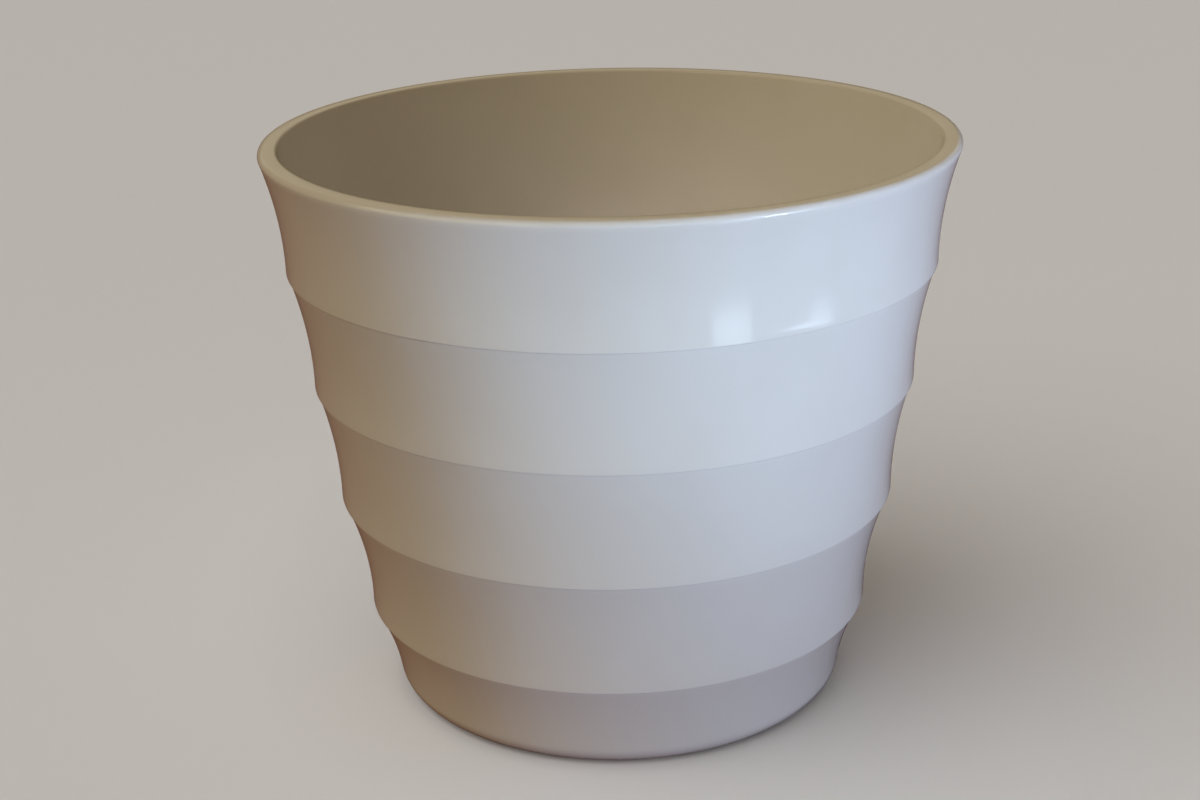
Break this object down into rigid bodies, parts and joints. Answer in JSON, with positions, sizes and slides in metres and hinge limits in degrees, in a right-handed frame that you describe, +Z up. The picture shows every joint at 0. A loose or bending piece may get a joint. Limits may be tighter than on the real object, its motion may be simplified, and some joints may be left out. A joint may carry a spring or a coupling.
{
  "type": "plant pot",
  "caption": "Round tapered plant pot, open at the top, with concave flared bands outside, a flat rim and a smooth inside.",
  "frame": {"origin": "centre of the foot ring, on the surface that the pot stands on", "axes": "+Z up along the pot's axis of revolution, from the foot to the rim"},
  "size_m": [0.15, 0.15, 0.126],
  "materials": {
    "pot_plastic": "glossy white moulded plastic"
  },
  "bodies": {
    "root": {"pot": "pot_plastic"}
  },
  "joints": []
}
